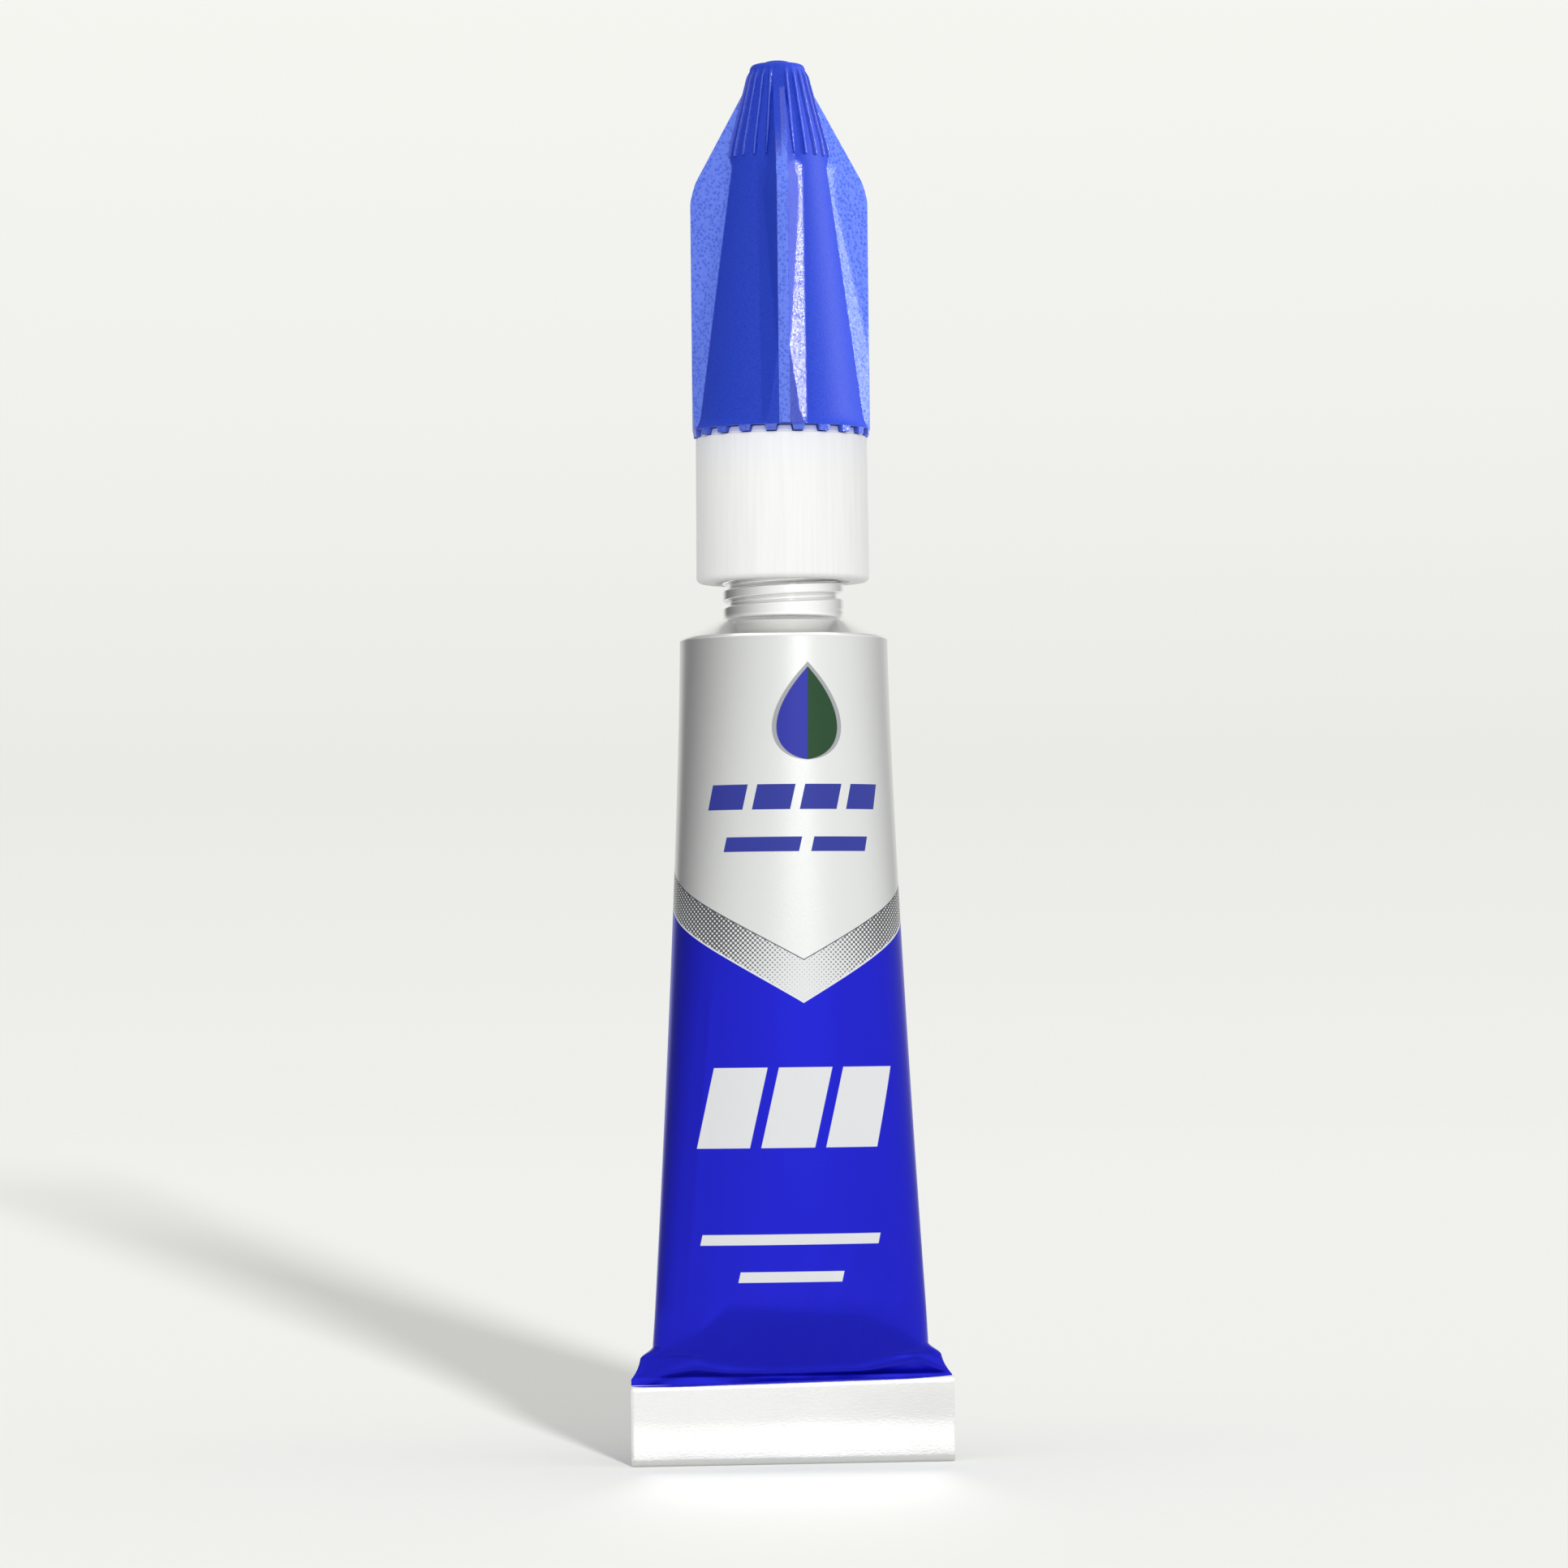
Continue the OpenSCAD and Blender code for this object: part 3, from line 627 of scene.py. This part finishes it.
class Look:
    """A material's nodes, added by calls that give back their output sockets."""

    def __init__(self, name):
        self.material = bpy.data.materials.new(name)
        self.material.use_nodes = True
        self.tree = self.material.node_tree
        self.tree.nodes.clear()

    def put(self, socket, value):
        if isinstance(value, bpy.types.NodeSocket):
            self.tree.links.new(value, socket)
        else:
            socket.default_value = value

    def add(self, kind, inputs=None, **settings):
        node = self.tree.nodes.new("ShaderNode" + kind)
        for name, value in settings.items():
            setattr(node, name, value)
        for name, value in (inputs or {}).items():
            self.put(node.inputs[name], value)
        return node

    def math(self, operation, *values):
        return self.add("Math", dict(enumerate(values)), operation=operation).outputs[0]

    def plus(self, a, b):
        return self.math("ADD", a, b)

    def minus(self, a, b):
        return self.math("SUBTRACT", a, b)

    def times(self, a, b):
        return self.math("MULTIPLY", a, b)

    def largest(self, a, b):
        return self.math("MAXIMUM", a, b)

    def absolute(self, value):
        return self.math("ABSOLUTE", value)

    def scaled(self, value, low, high, to_low, to_high):
        node = self.add("MapRange", {"Value": value, "From Min": low, "From Max": high,
                                     "To Min": to_low, "To Max": to_high})
        return node.outputs[0]

    def spread(self, noise, to_low, to_high):
        """Noise stretched from the range that it mostly keeps to."""
        return self.scaled(noise, 0.3, 0.7, to_low, to_high)

    def below(self, distance, soft=0.03):
        """1 where the distance is below zero, 0 above, with a soft edge."""
        return self.scaled(distance, -soft / 2, soft / 2, 1.0, 0.0)

    def mix(self, share, a, b):
        """A colour or a number between a and b."""
        colour = not isinstance(a, (int, float))
        node = self.add("Mix", data_type="RGBA" if colour else "FLOAT")
        first = 6 if colour else 2
        sockets = (node.inputs[0], node.inputs[first], node.inputs[first + 1])
        for socket, value in zip(sockets, (share, a, b)):
            self.put(socket, value)
        return node.outputs[2 if colour else 0]

    def mottled(self, noise, a, b):
        """A colour that wanders between a and b with the noise."""
        return self.mix(self.spread(noise, 0.0, 1.0), a, b)

    def place(self):
        return self.add("TexCoord").outputs["Object"]

    def noise(self, scale, detail=2.0, stretch=None):
        """Noise over the object, with scale in features per millimetre."""
        place = self.place()
        if stretch:
            place = self.add("Mapping", {"Vector": place, "Scale": stretch}).outputs[0]
        node = self.add("TexNoise", {"Vector": place, "Scale": scale / MM, "Detail": detail})
        return node.outputs["Fac"]

    def bump(self, height, depth):
        """Normal from a height map whose white is depth millimetres above its black."""
        return self.add("Bump", {"Height": height, "Distance": depth * MM}).outputs[0]

    def surface(self, **inputs):
        names = {}
        for key, value in inputs.items():
            names[key.replace("_", " ").title().replace("Ior", "IOR")] = value
        node = self.add("BsdfPrincipled", names)
        self.add("OutputMaterial", {"Surface": node.outputs[0]})
        return self.material


def bars(look, u, v, shapes):
    """One mask of slanted bars."""
    found = None
    for at_u, at_v, half_w, half_h in shapes:
        up = look.minus(v, at_v)
        across = look.minus(u, look.math("MULTIPLY_ADD", up, BAR_SLANT, at_u))
        in_width = look.below(look.minus(look.absolute(across), half_w))
        in_height = look.below(look.minus(look.absolute(up), half_h))
        one = look.times(in_width, in_height)
        found = one if found is None else look.largest(found, one)
    return found


def printed_look():
    look = Look("printed aluminium")
    label = look.add("Attribute", attribute_name="label").outputs["Vector"]
    parts = look.add("SeparateXYZ", {0: label})
    u, v = parts.outputs[0], parts.outputs[1]
    # The band's tip lies a little right of the front centre, and its arms meet at the back
    tip_u = look.scaled(look.absolute(u), 0.0, PERIMETER / 2, BAND_TIP_U, 0.0)
    beside_tip = look.absolute(look.minus(u, tip_u))
    above_low = look.minus(v, look.math("MULTIPLY_ADD", beside_tip, BAND_SLOPE, BAND_TIP_V))
    above_high = look.minus(above_low, look.math("MULTIPLY_ADD", beside_tip, BAND_TAPER, BAND_H))
    # Halftone of light dots, larger towards the tip of the band
    diagonals = (look.plus(u, v), look.minus(u, v))
    turned = [look.math("DIVIDE", d, DOT_PITCH * math.sqrt(2)) for d in diagonals]
    offs = [look.minus(look.math("FRACT", t), 0.5) for t in turned]
    far = look.math("SQRT", look.plus(look.times(offs[0], offs[0]), look.times(offs[1], offs[1])))
    size = look.plus(look.scaled(beside_tip, 0.0, 5.0, 0.66, 0.31),
                     look.scaled(above_low, 0.0, 2.3, 0.03, -0.05))
    dots = look.below(look.minus(far, size), 0.12)
    blue_marks = bars(look, u, v, BLUE_BARS)
    white_marks = bars(look, u, v, WHITE_BARS)
    # A drop with a thin grey edge, blue on the left and green on the right
    rise = look.scaled(v, DROP_LOW, DROP_HIGH, 0.0, 1.0)
    girth = look.times(look.math("SQRT", rise), look.minus(1.0, rise))
    beside_drop = look.minus(u, DROP_U)
    inside_drop = look.minus(look.absolute(beside_drop), look.times(girth, DROP_GIRTH))
    drop = look.below(look.plus(inside_drop, DROP_EDGE))
    # The small step keeps the mask off the centre line, above and below the drop
    drop_edge = look.below(look.plus(inside_drop, 0.02))
    right = look.below(look.times(beside_drop, -1.0))

    colour = look.mix(blue_marks, SILVER, MARK_BLUE)
    colour = look.mix(drop_edge, colour, DROP_GREY)
    colour = look.mix(drop, colour, look.mix(right, DROP_BLUE, DROP_GREEN))
    colour = look.mix(look.below(look.minus(above_high, LINE_ABOVE)), colour, LINE_DARK)
    in_band = look.below(above_high)
    colour = look.mix(in_band, colour, look.mix(dots, BAND_DARK, BAND_LIGHT))
    colour = look.mix(look.below(above_low), colour, PRINT_WHITE)
    in_blue = look.below(look.plus(above_low, LINE_BELOW))
    colour = look.mix(in_blue, colour, PRINT_BLUE)
    colour = look.mix(white_marks, colour, PRINT_WHITE)

    grain = look.noise(9.0, 3.0)
    fine = look.noise(26.0)
    inked = look.largest(in_band, look.largest(blue_marks, drop_edge))
    metal = look.mix(inked, 1.0, look.mix(in_blue, 0.25, look.mix(white_marks, 0.9, 0.1)))
    rough = look.plus(0.33, look.spread(grain, -0.03, 0.03))
    texture = look.plus(look.times(grain, 0.7), look.times(fine, 0.3))
    return look.surface(base_color=colour, metallic=metal, roughness=rough,
                        normal=look.bump(texture, 0.006))


def bare_look(name, colour, rough, depth, stretch):
    look = Look(name)
    marks = look.noise(7.0, 4.0, stretch)
    darker = tuple(c * 0.95 for c in colour[:3]) + (1,)
    shade = look.mottled(look.noise(20.0), colour, darker)
    return look.surface(base_color=shade, metallic=1.0,
                        roughness=look.spread(marks, rough - 0.04, rough + 0.05),
                        normal=look.bump(marks, depth))


def white_look():
    look = Look("white plastic")
    lines = look.noise(4.0, 3.0, (1.0, 1.0, 0.04))
    grain = look.noise(14.0)
    texture = look.plus(look.times(lines, 0.6), look.times(grain, 0.4))
    shade = look.mix(look.scaled(lines, 0.35, 0.65, 0.0, 1.0), (0.88, 0.88, 0.876, 1),
                     (0.92, 0.92, 0.915, 1))
    # Painted light: blue light that comes through the cap is painted into the teeth and into the top of the
    # collar
    z = look.add("SeparateXYZ", {0: look.place()}).outputs["Z"]
    near_top = look.scaled(z, (COLLAR_TOP - 2.6) * MM, COLLAR_TOP * MM, 0.0, 0.22)
    shade = look.mix(near_top, shade, (0.70, 0.74, 0.95, 1))
    # Painted light: the teeth under the cap's rim take more of its painted blue light
    on_tooth = look.scaled(z, (COLLAR_TOP + 0.02) * MM, (COLLAR_TOP + 0.14) * MM, 0.0, 0.85)
    below_cone = look.scaled(z, (COLLAR_TOP + 0.5) * MM, (COLLAR_TOP + 0.9) * MM, 1.0, 0.0)
    shade = look.mix(look.times(on_tooth, below_cone), shade, (0.50, 0.54, 0.88, 1))
    return look.surface(base_color=shade, roughness=look.spread(grain, 0.38, 0.48), subsurface_weight=0.25,
                        subsurface_radius=(1.0, 1.0, 0.97), subsurface_scale=0.6 * MM,
                        normal=look.bump(texture, 0.012))


def blue_look():
    look = Look("blue plastic")
    kind = look.add("Attribute", attribute_name="wing").outputs["Fac"]
    wing = look.scaled(kind, 0.0, 0.5, 0.0, 1.0)
    painted_glow = look.scaled(kind, 0.5, 1.0, 0.0, 1.0)
    cells = look.add("TexVoronoi", {"Vector": look.place(), "Scale": 5.0 / MM}, feature="F1")
    sparks = cells.outputs["Distance"]
    grain = look.noise(10.0, 3.0)
    rough_skin = look.plus(look.times(sparks, 0.6), look.times(grain, 0.6))
    texture = look.mix(wing, look.times(grain, 0.25), rough_skin)
    plain = look.mottled(grain, (0.010, 0.036, 0.47, 1), (0.015, 0.058, 0.55, 1))
    # Painted light: the pale blue with lighter speckles stands for light through the thin wings and for
    # their sparkle
    pale = look.mix(look.scaled(sparks, 0.1, 0.6, 0.0, 1.0), (0.05, 0.11, 0.70, 1), (0.13, 0.22, 0.82, 1))
    normal = look.bump(texture, 0.048)
    # A wing's root is glossy, its painted pale part less so
    gloss = look.times(wing, look.scaled(painted_glow, 0.0, 1.0, 1.0, 0.08))
    return look.surface(base_color=look.mix(painted_glow, plain, pale), roughness=look.mix(wing, 0.58, 0.36),
                        specular_ior_level=0.22, subsurface_weight=0.25,
                        subsurface_radius=(0.5, 0.7, 1.0), subsurface_scale=0.6 * MM,
                        coat_weight=gloss, coat_roughness=0.18, normal=normal, coat_normal=normal)


def soft_look(name, low, high, rough, scale, depth, **more):
    look = Look(name)
    grain = look.noise(scale, 3.0)
    return look.surface(base_color=look.mottled(grain, low, high),
                        roughness=look.spread(grain, rough - 0.05, rough + 0.05),
                        normal=look.bump(grain, depth), **more)


bare = bare_look("bare aluminium", (0.90, 0.90, 0.895, 1), 0.2, 0.004, (1.0, 1.0, 5.0))
tail_metal = bare_look("folded aluminium", (0.91, 0.91, 0.908, 1), 0.2, 0.006, (0.6, 1.0, 1.6))
white = white_look()
wall = tube_wall(printed_look())
neck = tube_neck(bare)
tail = rolled_strip("tail_fold", SHEET_T, 0.0, "tube_shell", tail_metal)
rolled_strip("tail_seal", 0.04, 0.15, "tail_sealant",
             soft_look("sealing compound", (0.42, 0.32, 0.2, 1), (0.55, 0.44, 0.3, 1), 0.7, 5.0, 0.01))
gel(soft_look("glue gel", (0.80, 0.86, 0.88, 1), (0.86, 0.91, 0.92, 1), 0.12, 1.5, 0.02,
              transmission_weight=0.85, ior=1.45))
nozzle = [nozzle_collar(white), nozzle_spout(white)]
blue_cap = cap(blue_look())

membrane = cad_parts["neck_membrane"]
membrane.data.materials.clear()
membrane.data.materials.append(bare_look("foil", (0.88, 0.88, 0.88, 1), 0.16, 0.01, (1.0, 1.0, 1.0)))

# Stage, light and camera, in metres

CAMERA_TURN = math.radians(-7.6)
CAMERA_FAR, CAMERA_HIGH = 0.400, 0.025
PITCH_UP, ROLL, AIM_LEFT = math.radians(2.033), math.radians(0.63), math.radians(0.009)
FLOOR_REACH = 2.4
LAMP_AIM = (0, 0, 0.035)
TAIL_FRONT = (0, -0.0024, 0.003)


def compass(turn, rise=0.0):
    """Unit vector from the object towards a turn from the front, to the right as seen from there."""
    return Vector((math.sin(turn) * math.cos(rise), -math.cos(turn) * math.cos(rise), math.sin(rise)))


def beside_camera(turn, rise=0.0):
    """Unit vector from the object, some degrees right of the camera and above the floor."""
    return compass(CAMERA_TURN + math.radians(turn), math.radians(rise))


def floor_look():
    look = Look("floor")
    place = look.place()
    away = look.add("VectorMath", {0: place}, operation="LENGTH").outputs["Value"]
    path = look.add("LightPath").outputs
    # The floor fades out, for the camera farther away than for other rays
    shown = look.mix(path["Is Camera Ray"], look.scaled(away, 0.16, 0.30, 1.0, 0.0),
                     look.scaled(away, 0.8, 1.9, 1.0, 0.0))
    shade = look.mottled(look.noise(1.2, 3.0), (0.68, 0.684, 0.664, 1), (0.69, 0.694, 0.674, 1))
    shade = look.mix(path["Is Diffuse Ray"], shade, (0.4, 0.4, 0.4, 1))
    # Painted shade: for mirrored rays the floor is darkened close to the foot, a painted contact shadow in
    # what the tube mirrors
    beside = look.add("Mapping", {"Vector": place, "Scale": (0.4, 1.0, 1.0)}).outputs[0]
    near = look.add("VectorMath", {0: beside}, operation="LENGTH").outputs["Value"]
    painted_contact_shade = look.times(path["Is Glossy Ray"], look.scaled(near, 0.004, 0.02, 0.2, 0.0))
    shade = look.mix(painted_contact_shade, shade, (0.0, 0.0, 0.0, 1))
    paper = look.add("BsdfDiffuse", {"Color": shade}).outputs[0]
    clear = look.add("BsdfTransparent").outputs[0]
    mixed = look.add("MixShader", {0: shown, 1: clear, 2: paper})
    look.add("OutputMaterial", {"Surface": mixed.outputs[0]})
    return look.material


def make_floor():
    mesh = bpy.data.meshes.new("floor")
    rings, cols = 12, 96
    angles = round_angles(cols)
    r = (FLOOR_REACH * (np.arange(1, rings + 1) / rings) ** 1.6)[:, None]
    points = np.concatenate([polar_points(r + 0 * angles, 0 * r + 0 * angles, angles), [(0, 0, 0)]])
    faces = grid_faces(rings, cols, False) + fan_faces(rings * cols, 0, cols)
    mesh.from_pydata(points.tolist(), [], faces)
    mesh.materials.append(floor_look())
    floor = bpy.data.objects.new("floor", mesh)
    bpy.context.scene.collection.objects.link(floor)
    return floor


def make_world():
    world = bpy.data.worlds.new("studio")
    bpy.context.scene.world = world
    world.use_nodes = True
    tree = world.node_tree
    tree.nodes.clear()

    def add(kind, *values, operation=None):
        node = tree.nodes.new("ShaderNode" + kind)
        if operation:
            node.operation = operation
        for socket, value in zip(node.inputs, values):
            if isinstance(value, bpy.types.NodeSocket):
                tree.links.new(value, socket)
            else:
                socket.default_value = value
        return node

    def towards(direction):
        return add("VectorMath", place, direction, operation="DOT_PRODUCT").outputs["Value"]

    place = add("TexCoord").outputs["Generated"]
    rise = add("SeparateXYZ", place).outputs["Z"]
    # Light from all round, strongest to the right of the camera and from above
    overhead = add("Math", rise, 0.0, operation="MAXIMUM").outputs[0]
    level = add("Math", towards(beside_camera(30)), 0.50, 0.63, operation="MULTIPLY_ADD")
    level = add("Math", overhead, 0.36, level.outputs[0], operation="MULTIPLY_ADD")
    light = add("Background", (1.0, 1.0, 0.985, 1), level.outputs[0])
    ramp = add("ValToRGB", rise)
    stops = ramp.color_ramp.elements
    stops[0].position, stops[0].color = 0.0, (0.86, 0.863, 0.83, 1)
    stops[1].position, stops[1].color = 0.15, (0.92, 0.92, 0.88, 1)
    stops.new(0.037).color = (0.823, 0.83, 0.79, 1)
    stops.new(0.075).color = (0.865, 0.868, 0.835, 1)
    backdrop = add("Background", ramp.outputs[0])
    # Mirrors and clear pieces see the pale backdrop where it hangs, behind the object
    path = add("LightPath").outputs
    mirrored = add("Math", path["Is Glossy Ray"], path["Is Transmission Ray"], operation="MAXIMUM")
    behind = add("MapRange", towards(beside_camera(180)), 0.75, 0.9)
    shown = add("Math", mirrored.outputs[0], behind.outputs[0], path["Is Camera Ray"],
                operation="MULTIPLY_ADD")
    mixed = add("MixShader", shown.outputs[0], light.outputs[0], backdrop.outputs[0])
    add("OutputWorld", mixed.outputs[0])


def add_lamp(name, kind, energy, towards, lights, at=LAMP_AIM, far=1.0):
    """A lamp that is far metres from a place and lights only the given objects."""
    lamp = bpy.data.lights.new(name, kind)
    lamp.energy = energy
    made = bpy.data.objects.new(name, lamp)
    made.location = towards * far + Vector(at)
    made.rotation_euler = towards.to_track_quat("Z", "Y").to_euler()
    bpy.context.scene.collection.objects.link(made)
    group = bpy.data.collections.new(name + " lights")
    for ob in lights:
        group.objects.link(ob)
    made.light_linking.receiver_collection = group
    return lamp


def add_disk(name, energy, size, towards, lights):
    lamp = add_lamp(name, "AREA", energy, towards, lights)
    lamp.shape = "DISK"
    lamp.size = size


floor = make_floor()
make_world()
add_disk("key", 8.0, 0.2, beside_camera(95, 15), [blue_cap])
add_disk("fill", 3.05, 1.3, beside_camera(-16, 2), nozzle + [blue_cap])
add_disk("front", 0.28, 0.3, beside_camera(18, 1), [wall])
add_disk("tail glint", 0.12, 0.12, beside_camera(18, 8), [tail, neck])
sun = add_lamp("floor sun", "SUN", 16.0, beside_camera(9.3, 4.6), [floor])
sun.angle = math.radians(3.0)
add_disk("top", 3.0, 1.2, beside_camera(0, 88), [neck])
# The folded tail throws the low sun back on to the floor in front of it
glow = add_lamp("tail glow", "AREA", 0.0009, beside_camera(180, 4), [floor], TAIL_FRONT, 0.0)
glow.shape = "RECTANGLE"
glow.size, glow.size_y = 0.0172, 0.004
glow.spread = math.radians(22)

camera_data = bpy.data.cameras.new("camera")
camera_data.lens = 158.97
camera_data.sensor_width = 36.0
camera_data.clip_start = 0.05
camera_data.clip_end = 20.0
camera = bpy.data.objects.new("camera", camera_data)
bpy.context.scene.collection.objects.link(camera)
ahead = -compass(CAMERA_TURN + AIM_LEFT, -PITCH_UP)
right = ahead.cross(Vector((0, 0, 1))).normalized()
up = right.cross(ahead)
rolled_right = right * math.cos(ROLL) - up * math.sin(ROLL)
rolled_up = up * math.cos(ROLL) + right * math.sin(ROLL)
turn = Matrix((rolled_right, rolled_up, -ahead)).transposed()
stand = compass(CAMERA_TURN) * CAMERA_FAR + Vector((0, 0, CAMERA_HIGH))
camera.matrix_world = Matrix.Translation(stand) @ turn.to_4x4()
bpy.context.scene.camera = camera
bpy.context.scene.view_settings.view_transform = "Standard"
